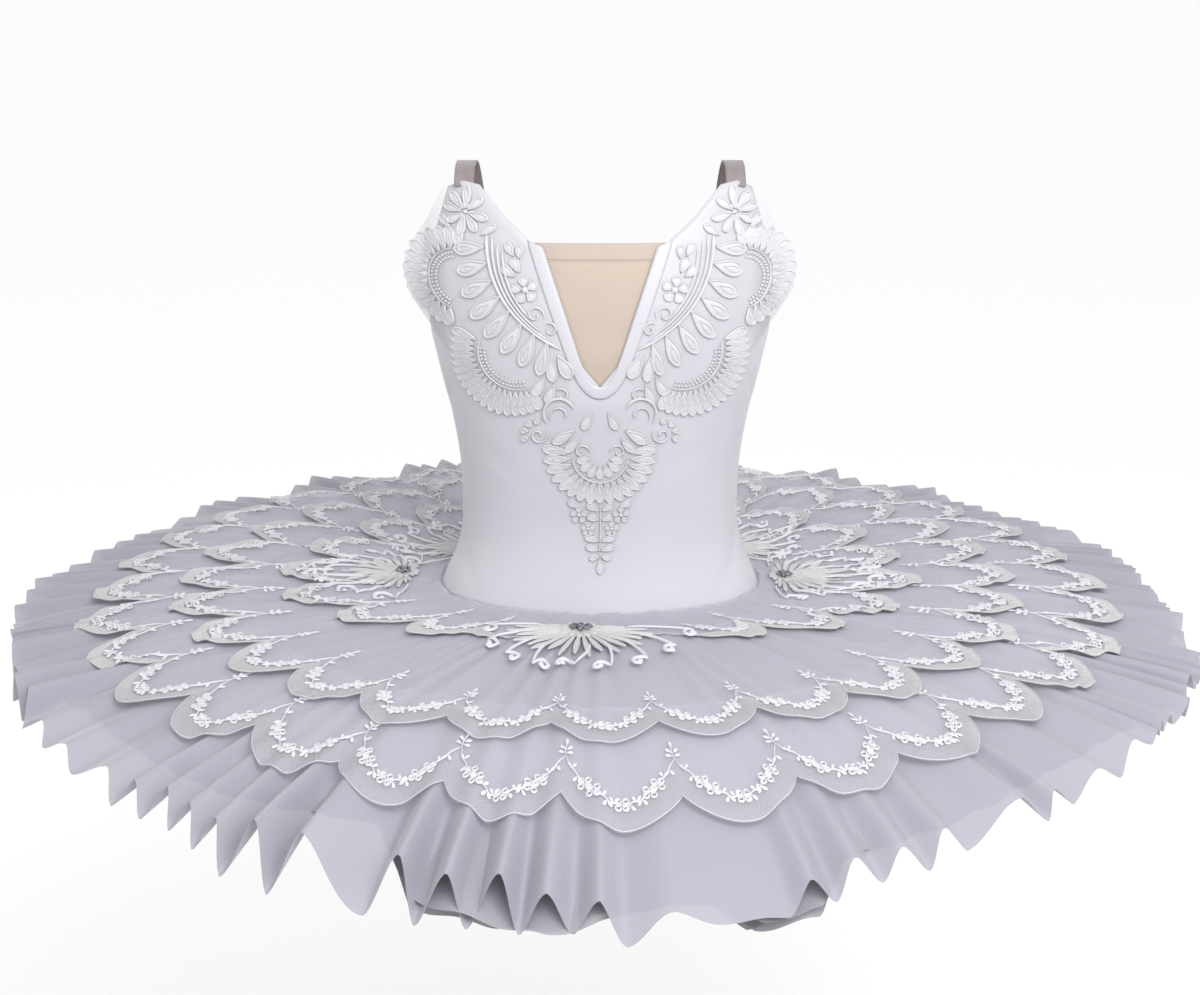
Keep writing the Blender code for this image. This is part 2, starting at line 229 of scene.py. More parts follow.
def sum_of(tree, operation, first, second=None, third=None):
    """The output of a maths node fed by two sockets or numbers."""
    node = tree.nodes.new("ShaderNodeMath")
    node.operation = operation
    for socket, value in zip(node.inputs, (first, second, third)):
        if value is None:
            continue
        if isinstance(value, (int, float)):
            socket.default_value = value
        else:
            tree.links.new(value, socket)
    return node.outputs[0]


def flat_place(tree):
    """The two directions of the cloth as it was cut, in metres."""
    place = tree.nodes.new("ShaderNodeUVMap")
    place.uv_map = "cut"
    split = tree.nodes.new("ShaderNodeSeparateXYZ")
    tree.links.new(place.outputs["UV"], split.inputs[0])
    return split.outputs["X"], split.outputs["Y"]


def relief(tree, shader, height, distance, strength=1.0):
    bump = tree.nodes.new("ShaderNodeBump")
    bump.inputs["Distance"].default_value = distance
    bump.inputs["Strength"].default_value = strength
    tree.links.new(height, bump.inputs["Height"])
    tree.links.new(bump.outputs["Normal"], shader.inputs["Normal"])


def grain(tree, scale, detail):
    """Noise from the place in space."""
    noise = tree.nodes.new("ShaderNodeTexNoise")
    noise.inputs["Scale"].default_value = scale
    noise.inputs["Detail"].default_value = detail
    place = tree.nodes.new("ShaderNodeTexCoord")
    tree.links.new(place.outputs["Object"], noise.inputs["Vector"])
    return noise.outputs["Fac"]


def place_in_space(tree):
    """The place in space, as its three directions."""
    place = tree.nodes.new("ShaderNodeTexCoord")
    split = tree.nodes.new("ShaderNodeSeparateXYZ")
    tree.links.new(place.outputs["Object"], split.inputs[0])
    return split.outputs


def ranged(tree, value, *levels):
    """Runs a value from one level to another. levels are its start and end, then those it gives."""
    node = tree.nodes.new("ShaderNodeMapRange")
    tree.links.new(value, node.inputs["Value"])
    for socket, level in zip(("From Min", "From Max", "To Min", "To Max"), levels):
        node.inputs[socket].default_value = level
    return node.outputs["Result"]


def mottle(tree, shader, colour, other, scale):
    """Lets the colour wander a little between two near tones."""
    ramp = tree.nodes.new("ShaderNodeValToRGB")
    ramp.color_ramp.elements[0].color = (*colour, 1.0)
    ramp.color_ramp.elements[0].position = 0.35
    ramp.color_ramp.elements[1].color = (*other, 1.0)
    ramp.color_ramp.elements[1].position = 0.65
    tree.links.new(grain(tree, scale, 3.0), ramp.inputs["Fac"])
    tree.links.new(ramp.outputs["Color"], shader.inputs["Base Color"])


def ribs(tree, along, pitch):
    """A soft round wave, 0 to 1, with a rib every pitch metres."""
    turn = sum_of(tree, "MULTIPLY", along, 2 * math.pi / pitch)
    return sum_of(tree, "MULTIPLY_ADD", sum_of(tree, "SINE", turn), 0.5, 0.5)


def knit_relief(tree, shader, pitch, depth):
    """The fine wales and courses of a stretch knit."""
    across, up = flat_place(tree)
    wales, courses = ribs(tree, across, pitch), ribs(tree, up, pitch * 0.8)
    relief(tree, shader, sum_of(tree, "MULTIPLY", wales, courses), depth, 0.6)


SATIN_COLOUR = (0.488, 0.480, 0.518)
satin, satin_tree, satin_shader = new_finish("bodice satin", SATIN_COLOUR, 0.42, sheen=0.15)
mottle(satin_tree, satin_shader, SATIN_COLOUR, (0.503, 0.495, 0.532), 14.0)
knit_relief(satin_tree, satin_shader, 0.0009, 0.00005)

# Top edge of half the front, from the V over the shoulder tab and down the armhole:
# distance from the middle, height
FRONT_EDGE = (
    (0.0000, 0.1075),
    (0.0127, 0.1233),
    (0.0244, 0.1596),
    (0.0395, 0.2045),
    (0.0484, 0.2093),
    (0.0660, 0.2245),
    (0.0852, 0.2458),
    (0.0965, 0.2478),
    (0.1080, 0.2430),
    (0.1150, 0.2200),
    (0.1245, 0.1850),
    (0.1250, 0.1620),
    (0.1235, 0.1410),
)
UNDERARM = 0.127
# Top edge of half the back: angle from the middle of the back in degrees, height
BACK_EDGE = (
    (0, 0.0915),
    (10, 0.0945),
    (20, 0.1010),
    (28, 0.1110),
    (35, 0.1260),
    (40, 0.1400),
    (44, 0.1520),
    (48, 0.1570),
    (53, 0.1575),
    (58, 0.1545),
    (66, 0.1440),
    (75, 0.1345),
    (83, 0.1290),
    (90, 0.1270),
)


def along_edge(knots, per_step):
    """Evenly many points between each two knots."""
    knots = np.array(knots)
    stops = np.arange(len(knots))
    fine = np.linspace(0, len(knots) - 1, per_step * (len(knots) - 1) + 1)
    return np.stack([np.interp(fine, stops, knots[:, c]) for c in range(knots.shape[1])], 1)


def softened(line, taps):
    """Averages each point of a line with its neighbours, and leaves the ends as they are."""
    reach = taps // 2
    line = np.array(line)
    for column in line.T:
        column[reach:-reach] = np.convolve(column, np.ones(taps) / taps, "valid")
    return line


def take_place(node):
    """Hides a node's part from the model, where a piece built here stands instead."""
    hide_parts(node)


def bodice_panel(name, half_angles, half_tops, middle, wall=SATIN_WALL):
    """A panel from its half: angles from its middle line, and the height of its top at each."""
    angles = np.concatenate([-half_angles[:0:-1], half_angles])
    tops = np.concatenate([half_tops[:0:-1], half_tops])
    if middle:
        angles = angles + math.pi
    rows = np.linspace(0, 1, 52)[:, None]
    heights = HIP + rows * (tops - HIP)
    grid = body_point(np.broadcast_to(angles, heights.shape), heights, satin_give(angles, heights))
    return cloth(name, grid, satin, wall=wall)


edge = along_edge(FRONT_EDGE, 5)
seam = math.acos((2 * SEAM_GAP / 0.088) ** (1 / ROUND))
front_angles = angle_at(edge[:, 0], edge[:, 1])
front_angles = np.append(front_angles, np.linspace(front_angles[-1], seam, 5)[1:])
front_tops = np.append(edge[:, 1], np.linspace(edge[-1, 1], UNDERARM, 5)[1:])
bodice_front = bodice_panel("bodice_front", front_angles, front_tops, 0)
take_place("bodice_front")

edge = along_edge(BACK_EDGE, 4)
edge[:, 1:] = softened(edge[:, 1:], 7)
back_angles = np.radians(edge[:, 0]) * seam / (math.pi / 2)
bodice_back = bodice_panel("bodice_back", back_angles, edge[:, 1], 1)
take_place("bodice_back")

# ---------------------------------------------------------------------------------------------
# Brief: the satin knickers that the net is sewn to, a front and a back joined at the sides and
# at the crotch, and cut high over both legs.
# ---------------------------------------------------------------------------------------------
# height, half width of the body, depth in front, depth behind, half width of the cloth
BRIEF = (
    (-0.0650, 0.1215, 0.0840, 0.0880, 0.1215),
    (-0.0850, 0.1225, 0.0835, 0.0905, 0.1225),
    (-0.1130, 0.1225, 0.0815, 0.0925, 0.1225),
    (-0.1350, 0.1215, 0.0790, 0.0915, 0.1030),
    (-0.1600, 0.1200, 0.0710, 0.0860, 0.0700),
    (-0.1820, 0.1200, 0.0530, 0.0690, 0.0470),
    (-0.1970, 0.1200, 0.0250, 0.0380, 0.0360),
    (-0.2020, 0.1200, 0.0004, 0.0004, 0.0320),
)


def brief_panel(name, back):
    sizes = along_edge(BRIEF, 5)[::-1]
    soft = np.convolve(np.pad(sizes[:, 4], 3, mode="edge"), np.ones(7) / 7, "valid")
    cloth_half = np.where(sizes[:, 0] > -0.108, sizes[:, 1], np.minimum(soft, sizes[:, 1]))
    reach = np.arcsin(np.minimum(1.0, cloth_half / sizes[:, 1]) ** (1 / ROUND))
    reach = np.minimum(reach, seam)
    angles = reach[:, None] * np.linspace(-1, 1, 49)
    heights = np.broadcast_to(sizes[:, 0:1], angles.shape)
    section = [np.broadcast_to(sizes[:, c : c + 1], angles.shape) for c in (1, 2, 3)]
    grid = body_point(angles + (math.pi if back else 0), heights, 0.0, section)
    return cloth(name, grid, satin, wall=SATIN_WALL)


for node, back in (("brief_front", False), ("brief_back", True)):
    panel = brief_panel(node, back)
    take_place(node)

# ---------------------------------------------------------------------------------------------
# Neck: a nude stretch panel fills the V behind the satin, with a stitched band along its top,
# and a satin facing 9 mm wide follows the V. The straps are soft nude elastic.
# ---------------------------------------------------------------------------------------------
NUDE = (0.420, 0.348, 0.288)
nude, nude_tree, nude_shader = new_finish("nude stretch", NUDE, 0.7, sheen=0.2)
mottle(nude_tree, nude_shader, NUDE, (0.436, 0.362, 0.300), 30.0)
knit_relief(nude_tree, nude_shader, 0.0012, 0.00010)
BAND_NUDE = (0.415, 0.345, 0.298)
band_nude, band_tree, band_shader = new_finish("nude band", BAND_NUDE, 0.7, sheen=0.2)
mottle(band_tree, band_shader, BAND_NUDE, (0.432, 0.360, 0.310), 30.0)
knit_relief(band_tree, band_shader, 0.0012, 0.00010)
STRAP_COLOUR = (0.225, 0.188, 0.190)
strap_nude, strap_tree, strap_shader = new_finish("nude elastic", STRAP_COLOUR, 0.5, sheen=0.3)
mottle(strap_tree, strap_shader, STRAP_COLOUR, (0.270, 0.226, 0.226), 60.0)
across, _ = flat_place(strap_tree)
relief(strap_tree, strap_shader, ribs(strap_tree, across, 0.0014), 0.0002)
strap_shader.inputs["Alpha"].default_value = 0.88
WING_START = 0.124
WING_SLOPE = 0.75


def front_point(distance, height, out=0.0):
    """A point on the front by its distance from the middle. Past the wing, stiff lace stands off."""
    distance, height, out = np.broadcast_arrays(distance, height, out)
    half = np.interp(height, fine_heights, half_widths)
    on_body = np.minimum(np.abs(distance), np.minimum(WING_START, half))
    spare = np.abs(distance) - on_body
    angle = angle_at(on_body, height)
    points = body_point(angle, height, out + satin_give(angle * np.sign(distance), height))
    points[..., 0] = (points[..., 0] + spare) * np.where(distance < 0, -1.0, 1.0)
    points[..., 1] += spare * WING_SLOPE
    return points


def front_patch(name, rows, finish, out, per_step, columns, wall):
    """A patch on the front from rows of height and half width."""
    rows = along_edge(rows, per_step)
    distance = rows[:, 1:2] * np.linspace(-1, 1, columns)
    grid = front_point(distance, rows[:, 0:1], out)
    return cloth(name, grid, finish, wall=wall)


INSIDE = -0.0022
insert = front_patch(
    "neck_insert",
    ((0.1020, 0.0080), (0.1233, 0.0190), (0.1596, 0.0310), (0.1958, 0.0430)),
    nude,
    INSIDE,
    12,
    31,
    0.0008,
)
take_place("neck_insert")
band = front_patch(
    "neck_insert_band", ((0.1962, 0.0431), (0.2080, 0.0470)), band_nude, INSIDE + 0.0004, 8, 31, 0.0014
)
take_place("neck_insert_band")

# Half of the facing: inner distance and height, outer distance and height
FACING = (
    (0.0000, 0.1075, 0.0000, 0.0975),
    (0.0064, 0.1105, 0.0112, 0.1030),
    (0.0127, 0.1233, 0.0200, 0.1178),
    (0.0244, 0.1596, 0.0335, 0.1568),
    (0.0395, 0.2045, 0.0492, 0.2028),
    (0.0408, 0.2058, 0.0502, 0.2098),
)
half_facing = along_edge(FACING, 8)
facing_line = softened(np.concatenate([half_facing[:0:-1] * (-1, 1, -1, 1), half_facing]), 9)
across = np.linspace(0, 1, 7)[:, None]
distance = facing_line[:, 2] + across * (facing_line[:, 0] - facing_line[:, 2])
height = facing_line[:, 3] + across * (facing_line[:, 1] - facing_line[:, 3])
roll = 0.0005 + 0.0005 * np.sin(np.pi * across) ** 0.5
facing = cloth("neck_binding", front_point(distance, height, roll), satin, wall=0.0006)
take_place("neck_binding")

# The strap's run over the shoulder: distance from the middle, depth, height
STRAP = (
    (0.0962, -0.0430, 0.2440),
    (0.0962, -0.0345, 0.2525),
    (0.0962, -0.0200, 0.2575),
    (0.0957, 0.0020, 0.2585),
    (0.0950, 0.0220, 0.2505),
    (0.0935, 0.0400, 0.2310),
    (0.0915, 0.0530, 0.2060),
    (0.0900, 0.0605, 0.1800),
    (0.0890, 0.0632, 0.1530),
)
STRAP_WIDTH = 0.014
for side, node in ((1, "strap_left"), (-1, "strap_right")):
    run = softened(along_edge(STRAP, 8), 9)
    off = np.linspace(-0.5, 0.5, 9)[None, :] * STRAP_WIDTH
    grid = np.stack([side * run[:, 0:1] + off, run[:, 1:2] + 0 * off, run[:, 2:3] + 0 * off], -1)
    elastic = cloth(node, grid, strap_nude, wall=0.0010)
    take_place(node)

# ---------------------------------------------------------------------------------------------
# Corded lace: three appliques on a fine net, cut out round their motifs and sewn to the satin.
# Each motif is a thick cord laid round a padded, satin-stitched shape.
# ---------------------------------------------------------------------------------------------


class Needlework:
    """Motifs drawn flat, as across, up and proud in metres, then laid on cloth as one mesh."""

    CORD = np.array(((-0.5, 0.0), (-0.34, 0.72), (0.0, 1.0), (0.34, 0.72), (0.5, 0.0)))

    def __init__(self):
        self.points, self.faces, self.stitches, self.count = [], [], [], 0

    def add(self, points, faces, stitches):
        self.points.append(points)
        self.stitches.append(stitches)
        self.faces += (np.asarray(faces) + self.count).tolist()
        self.count += len(points)

    def cord(self, path, width, proud, closed=False, lift=0.0):
        """A round ridge along a path, tapered at free ends."""
        path = np.asarray(path, float)
        number = len(path)
        ahead, behind = np.roll(path, -1, 0), np.roll(path, 1, 0)
        full = np.ones(number)
        if not closed:
            ahead[-1], behind[0] = path[-1], path[0]
            steps = np.minimum(np.arange(number), np.arange(number)[::-1])
            full = np.minimum(1.0, 0.4 + 0.3 * steps)
        run = ahead - behind
        run /= np.linalg.norm(run, axis=1, keepdims=True) + 1e-12
        side = np.stack([-run[:, 1], run[:, 0]], 1)
        points = np.zeros((number, 5, 3))
        breadth = (width * full)[:, None, None]
        points[..., :2] = path[:, None] + side[:, None] * self.CORD[None, :, :1] * breadth
        points[..., 2] = lift + self.CORD[None, :, 1] * (proud * full)[:, None]
        travelled = np.append(0, np.cumsum(np.linalg.norm(np.diff(path, axis=0), axis=1)))
        stitches = np.zeros((number, 5, 2))
        stitches[..., 0] = travelled[:, None]
        stitches[..., 1] = self.CORD[None, :, 0] * width
        here = np.arange(number if closed else number - 1)[:, None] * 5 + np.arange(4)
        there = (here + 5) % (number * 5)
        faces = np.stack([here, there, there + 1, here + 1], -1).reshape(-1, 4)
        self.add(points.reshape(-1, 3), faces, stitches.reshape(-1, 2))

    def pad(self, outline, proud, lift=0.0):
        """A padded shape: its outline on the cloth, rising to a soft crown."""
        outline = np.asarray(outline, float)
        turn = np.roll(outline, -1, 0)
        if (outline[:, 0] * turn[:, 1] - outline[:, 1] * turn[:, 0]).sum() < 0:
            outline = outline[::-1]
        middle, number = outline.mean(0), len(outline)
        rings = [(1.0, 0.0), (0.72, 0.8)]
        points = []
        for share, rise in rings:
            ring = middle + (outline - middle) * share
            points.append(np.column_stack([ring, np.full(number, lift + proud * rise)]))
        points.append(np.array([[*middle, lift + proud]]))
        points = np.concatenate(points)
        here = np.arange(number)
        there = (here + 1) % number
        faces = np.stack([here, there, there + number, here + number], -1).tolist()
        faces += np.stack([here + number, there + number, np.full(number, 2 * number)], -1).tolist()
        self.points.append(points)
        self.stitches.append(points[:, :2].copy())
        self.faces += [[corner + self.count for corner in face] for face in faces]
        self.count += len(points)

    def petal(self, base, tip, width, cord=0.0011, proud=0.0013, filled=True, steps=6):
        """A teardrop, narrow at its base and round at its tip."""
        base, tip = np.array(base, float), np.array(tip, float)
        length = np.linalg.norm(tip - base)
        ahead = (tip - base) / length
        side = np.array((-ahead[1], ahead[0]))
        along = 0.5 - 0.5 * np.cos(np.linspace(0, np.pi, steps + 1))
        half = width / 2 * np.sin(np.pi * along**1.7) ** 0.6
        spine = base + np.outer(along * length, ahead)
        outline = np.concatenate([spine - np.outer(half, side), (spine + np.outer(half, side))[-2:0:-1]])
        if cord:
            self.cord(outline, cord, proud, closed=True)
        if filled:
            self.pad(outline, proud * 0.5)

    def fan(self, centre, inner, outer, start, end, count, width, filled=False, cord=0.0010):
        """Petals round part of a circle. inner and outer are radii at the start, middle and end."""
        for share in np.linspace(0, 1, count):
            angle = math.radians(start + share * (end - start))
            ray = np.array((math.cos(angle), math.sin(angle)))
            near, far = (np.interp(share, np.linspace(0, 1, len(r)), r) for r in (inner, outer))
            self.petal(np.add(centre, near * ray), np.add(centre, far * ray), width, cord, 0.0011, filled)

    def arc(self, centre, radius, start, end, width=0.0012, proud=0.0012, steps=14):
        angles = np.radians(np.linspace(start, end, steps))
        radii = np.interp(angles, angles[[0, -1]] if end > start else angles[[-1, 0]], radius)
        self.cord(np.add(centre, (radii * (np.cos(angles), np.sin(angles))).T), width, proud)

    def beads(self, path, radius, proud, every):
        """Small round knots along a path."""
        path = np.asarray(path, float)
        travelled = np.append(0, np.cumsum(np.linalg.norm(np.diff(path, axis=0), axis=1)))
        for stop in np.arange(0, travelled[-1] + 1e-9, every):
            self.dot([np.interp(stop, travelled, path[:, c]) for c in (0, 1)], radius, proud)

    def bead_rows(self, centre, radii, start, end):
        """Rows of small knots round part of a circle, one inside another."""
        turns = np.radians(np.linspace(start, end, 40))
        for radius in radii:
            row = np.add(centre, radius * np.stack([np.cos(turns), np.sin(turns)], 1))
            self.beads(row, 0.0009, 0.0011, 0.0026)

    def dot(self, centre, radius, proud, sides=6):
        turns = np.arange(sides) * 2 * np.pi / sides
        self.pad(np.add(centre, radius * np.stack([np.cos(turns), np.sin(turns)], 1)), proud)

    def flower(self, centre, radius, petals, width, turn=90.0, inner=0.25, cord=0.0009):
        last = turn + 360 * (petals - 1) / petals
        self.fan(centre, (inner * radius,) * 2, (radius,) * 2, turn, last, petals, width, True, cord)
        self.dot(centre, 0.28 * radius, 0.0016)

    def scroll(self, centre, radius, start, sweep, width=0.0013, proud=0.0014, inner=0.2, steps=18):
        angles = np.radians(np.linspace(start, start + sweep, steps))
        radii = radius * np.linspace(1, inner, steps)
        self.cord(np.add(centre, (radii * (np.cos(angles), np.sin(angles))).T), width, proud)

    def lay(self, name, onto, finish, side=1):
        """Lays the motifs on cloth by its rule from flat places to points; side -1 is the other hand."""
        flat = np.concatenate(self.points)
        mesh = bpy.data.meshes.new(name)
        faces = self.faces if side > 0 else [face[::-1] for face in self.faces]
        mesh.from_pydata(onto(side * flat[:, 0], flat[:, 1], flat[:, 2]).tolist(), [], faces)
        corners = np.empty(len(mesh.loops), np.int32)
        mesh.loops.foreach_get("vertex_index", corners)
        stitches = np.concatenate(self.stitches)[corners]
        mesh.uv_layers.new(name="cut").data.foreach_set("uv", stitches.reshape(-1).astype(np.float32))
        mesh.materials.append(finish)
        mesh.shade_smooth()
        piece = bpy.data.objects.new(name + "_work", mesh)
        bpy.context.scene.collection.objects.link(piece)
        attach(piece, "root")
        return piece


def stitched_finish(name, colour, other, roughness=0.5):
    """Glossy thread laid side by side."""
    finish, tree, shader = new_finish(name, colour, roughness, sheen=0.3)
    mottle(tree, shader, colour, other, 90.0)
    along, _ = flat_place(tree)
    relief(tree, shader, ribs(tree, along, 0.0008), 0.00012, 0.8)
    return finish


lace_thread = stitched_finish("lace cord", (0.535, 0.528, 0.560), (0.570, 0.563, 0.592))


def net_finish(name, colour, pitch, hole, thread_alpha=0.95, share=0.34, roughness=0.65):
    """Net as two sets of slanting threads. hole is how much the finer web in each mesh still hides."""
    finish, tree, shader = new_finish(name, colour, roughness, sheen=0.25)
    across, up = flat_place(tree)
    sides = []
    for way in (1.0, -1.0):
        slant = sum_of(tree, "MULTIPLY_ADD", up, way, across)
        phase = sum_of(tree, "FRACT", sum_of(tree, "MULTIPLY", slant, 1.0 / pitch))
        sides.append(sum_of(tree, "LESS_THAN", phase, share))
    threads = sum_of(tree, "MAXIMUM", *sides)
    alpha = sum_of(tree, "MULTIPLY_ADD", threads, thread_alpha - hole, hole)
    tree.links.new(alpha, shader.inputs["Alpha"])
    return finish


lace_ground = net_finish("lace ground", (0.540, 0.531, 0.567), 0.0016, 0.30, 0.80, 0.34)
# the net is as good as unseen where satin backs it, and shows white where it stands off at the
# armholes
ground_tree = lace_ground.node_tree
from_middle = sum_of(ground_tree, "ABSOLUTE", place_in_space(ground_tree)["X"])
backed = ranged(ground_tree, from_middle, 0.108, 0.124, 0.12, 1.0)
shader = ground_tree.nodes["Principled BSDF"]
web = shader.inputs["Alpha"].links[0].from_socket
ground_tree.links.new(sum_of(ground_tree, "MULTIPLY", web, backed), shader.inputs["Alpha"])

# One side's lace, from its lowest point up: height, inner edge, outer edge
CHEST_GROUND = (
    (0.0830, 0.0540, 0.0680),
    (0.0900, 0.0420, 0.0800),
    (0.1000, 0.0260, 0.0900),
    (0.1140, 0.0205, 0.0985),
    (0.1300, 0.0260, 0.1130),
    (0.1460, 0.0310, 0.1260),
    (0.1660, 0.0375, 0.1385),
    (0.1840, 0.0445, 0.1430),
    (0.2020, 0.0500, 0.1345),
    (0.2200, 0.0620, 0.1230),
    (0.2350, 0.0760, 0.1150),
    (0.2450, 0.0850, 0.1100),
)
CENTRE_GROUND = (
    (-0.0300, 0.0030),
    (-0.0180, 0.0090),
    (0.0040, 0.0150),
    (0.0190, 0.0240),
    (0.0360, 0.0340),
    (0.0540, 0.0390),
    (0.0720, 0.0440),
    (0.0860, 0.0320),
    (0.0950, 0.0120),
)
LACE_LIFT = 0.0007        # the lace's net over the satin


def on_lace(x, z, out):
    return front_point(x, z, out + LACE_LIFT)


chest = Needlework()
# Star at the shoulder
STAR = (0.0940, 0.2270)
STAR_RAYS = (95, 50, 12, -30, -75, -120, -165, 142)
STAR_TIPS = (0.0175, 0.0165, 0.0160, 0.0150, 0.0165, 0.0150, 0.0165, 0.0155)
for ray, far in zip(STAR_RAYS, STAR_TIPS):
    ahead = np.array((math.cos(math.radians(ray)), math.sin(math.radians(ray))))
    chest.petal(STAR + 0.0022 * ahead, STAR + far * ahead, 0.0050, 0.0011, 0.0015, steps=8)
chest.flower(STAR, 0.0062, 6, 0.0036, turn=70, cord=0.0)
chest.petal((0.0830, 0.2120), (0.0725, 0.2190), 0.0046)
chest.petal((0.1060, 0.2160), (0.1130, 0.2230), 0.0046)
# Fan round the armhole: long loops, and a double row of dots along its inner edge
ARM_FAN = (0.1010, 0.1800)
chest.fan(
    ARM_FAN, (0.0215, 0.0225, 0.0215), (0.0350, 0.0415, 0.0395, 0.0345),
    92, -78, 15, 0.0078, filled=True, cord=0.0012
)
chest.fan(
    ARM_FAN, (0.0235, 0.0245, 0.0235), (0.0290, 0.0340, 0.0320, 0.0290),
    92, -78, 15, 0.0028, cord=0.0008
)
chest.arc(ARM_FAN, (0.0205, 0.0215), -80, 94, 0.0010, 0.0010, steps=22)
chest.bead_rows(ARM_FAN, (0.0185, 0.0155), -72, 86)
# Plume: nested curving quills from the shoulder down beside the V
PLUME = (
    (0.0790, 0.2130),
    (0.0785, 0.1960),
    (0.0730, 0.1770),
    (0.0615, 0.1590),
    (0.0440, 0.1440),
    (0.0270, 0.1350),
)
plume_line = softened(along_edge(PLUME, 6), 7)
chest.cord(plume_line, 0.0020, 0.0016)
slope = np.gradient(plume_line, axis=0)
slope /= np.linalg.norm(slope, axis=1, keepdims=True)
inwards = np.stack([slope[:, 1], -slope[:, 0]], 1)
for quill, apart in enumerate((0.0035, 0.0070, 0.0105)):
    # the quills spread at the shoulder and close up beside the V
    spread = apart * np.linspace(1.15, 0.35, len(plume_line))[:, None]
    chest.cord((plume_line + spread * inwards)[quill * 2 : -3 - quill * 3], 0.0014, 0.0013)
# Leaves down the plume's outer side: their bases and tips
LEAVES = (
    ((0.0810, 0.2040), (0.1020, 0.2010), 0.0090),
    ((0.0790, 0.1930), (0.0995, 0.1860), 0.0098),
    ((0.0755, 0.1815), (0.0965, 0.1700), 0.0102),
    ((0.0700, 0.1710), (0.0900, 0.1545), 0.0102),
    ((0.0630, 0.1615), (0.0800, 0.1415), 0.0100),
    ((0.0545, 0.1530), (0.0680, 0.1310), 0.0096),
    ((0.0455, 0.1460), (0.0550, 0.1225), 0.0090),
    ((0.0365, 0.1405), (0.0425, 0.1165), 0.0084),
)
for base, tip, width in LEAVES:
    base, tip = np.array(base), np.array(tip)
    chest.petal(base, tip, width, 0.0013, 0.0015, steps=9)
    chest.petal(base + 0.35 * (tip - base), base + 0.86 * (tip - base), width * 0.42, 0.0010, 0.0016, steps=7)
# Fan under the leaves
LOW_FAN = (0.0600, 0.1310)
chest.fan(
    LOW_FAN, (0.0285, 0.0275, 0.0285), (0.0460, 0.0480, 0.0480, 0.0440),
    16, -114, 18, 0.0068, filled=True, cord=0.0012
)
chest.fan(
    LOW_FAN, (0.0300, 0.0290, 0.0300), (0.0390, 0.0400, 0.0400, 0.0380),
    16, -114, 18, 0.0024, cord=0.0008
)
chest.arc(LOW_FAN, (0.0265, 0.0255), -114, 16, 0.0010, 0.0010, steps=22)
chest.bead_rows(LOW_FAN, (0.0240, 0.0212), -108, 8)
# Between the plume and the V: a flower, small leaves and scrolls
chest.flower((0.0520, 0.1760), 0.0092, 5, 0.0066, turn=80)
chest.petal((0.0560, 0.1880), (0.0610, 0.1975), 0.0060)
chest.petal((0.0590, 0.1850), (0.0680, 0.1910), 0.0060)
chest.petal((0.0555, 0.1975), (0.0560, 0.2060), 0.0050)
chest.petal((0.0600, 0.1990), (0.0650, 0.2075), 0.0050)
chest.scroll((0.0450, 0.1590), 0.0066, 200, -420)
chest.scroll((0.0345, 0.1490), 0.0054, 40, 400)
chest.petal((0.0290, 0.1310), (0.0205, 0.1150), 0.0086, 0.0014, 0.0017, steps=8)
chest.petal((0.0350, 0.1290), (0.0325, 0.1120), 0.0074)
chest.petal((0.0390, 0.1150), (0.0460, 0.1010), 0.0066)
chest.petal((0.0320, 0.1100), (0.0370, 0.0960), 0.0066)
chest.scroll((0.0265, 0.1020), 0.0058, 30, 330)

for side, node in ((1, "chest_lace_left"), (-1, "chest_lace_right")):
    rows = along_edge(CHEST_GROUND, 4)
    distance = rows[:, 1:2] + (rows[:, 2:3] - rows[:, 1:2]) * np.linspace(0, 1, 25)
    grid = front_point(distance, rows[:, 0:1], LACE_LIFT)
    if side < 0:
        grid = (grid * (-1, 1, 1))[:, ::-1]
    ground = cloth(node + "_ground", grid, lace_ground)
    motifs = chest.lay(node, on_lace, lace_thread, side)
    take_place(node)

centre = Needlework()
# Crescents and round scrolls under the V, mirrored about the middle
for hand in (1, -1):
    centre.scroll((hand * 0.0275, 0.0890), 0.0125, 90 - hand * 130, hand * 200, 0.0020, 0.0018, inner=0.75)
    centre.scroll((hand * 0.0280, 0.0870), 0.0075, 90 - hand * 120, hand * 240, inner=0.5)
    centre.scroll((hand * 0.0435, 0.0715), 0.0068, 90 + hand * 60, hand * 430)
    for turn in (-20, 15, 50, 85):
        ray = math.radians(90 - hand * (90 - turn))
        tip = (hand * 0.0435 + 0.0125 * math.cos(ray), 0.0715 + 0.0125 * math.sin(ray))
        foot = (hand * 0.0435 + 0.0080 * math.cos(ray), 0.0715 + 0.0080 * math.sin(ray))
        centre.petal(foot, tip, 0.0042)
    centre.petal((hand * 0.0180, 0.0760), (hand * 0.0330, 0.0660), 0.0070, 0.0013, 0.0016)
    centre.petal((hand * 0.0150, 0.0700), (hand * 0.0240, 0.0600), 0.0065)
    centre.petal((hand * 0.0060, 0.0890), (hand * 0.0120, 0.0770), 0.0060)
    centre.scroll((hand * 0.0130, 0.0600), 0.0060, 90 + hand * 100, -hand * 380)
    centre.petal((hand * 0.0014, 0.0150), (hand * 0.0092, 0.0200), 0.0046)
    centre.petal((hand * 0.0014, 0.0080), (hand * 0.0088, 0.0105), 0.0042)
    centre.petal((hand * 0.0140, 0.0180), (hand * 0.0225, 0.0215), 0.0046)
    centre.flower((hand * 0.0150, 0.0115), 0.0060, 5, 0.0042)
    centre.flower((hand * 0.0085, 0.0010), 0.0050, 5, 0.0036)
    centre.petal((hand * 0.0010, -0.0080), (hand * 0.0110, -0.0050), 0.0042)
    centre.petal((hand * 0.0010, -0.0150), (hand * 0.0100, -0.0120), 0.0042)
    centre.petal((hand * 0.0010, -0.0200), (hand * 0.0075, -0.0210), 0.0034)
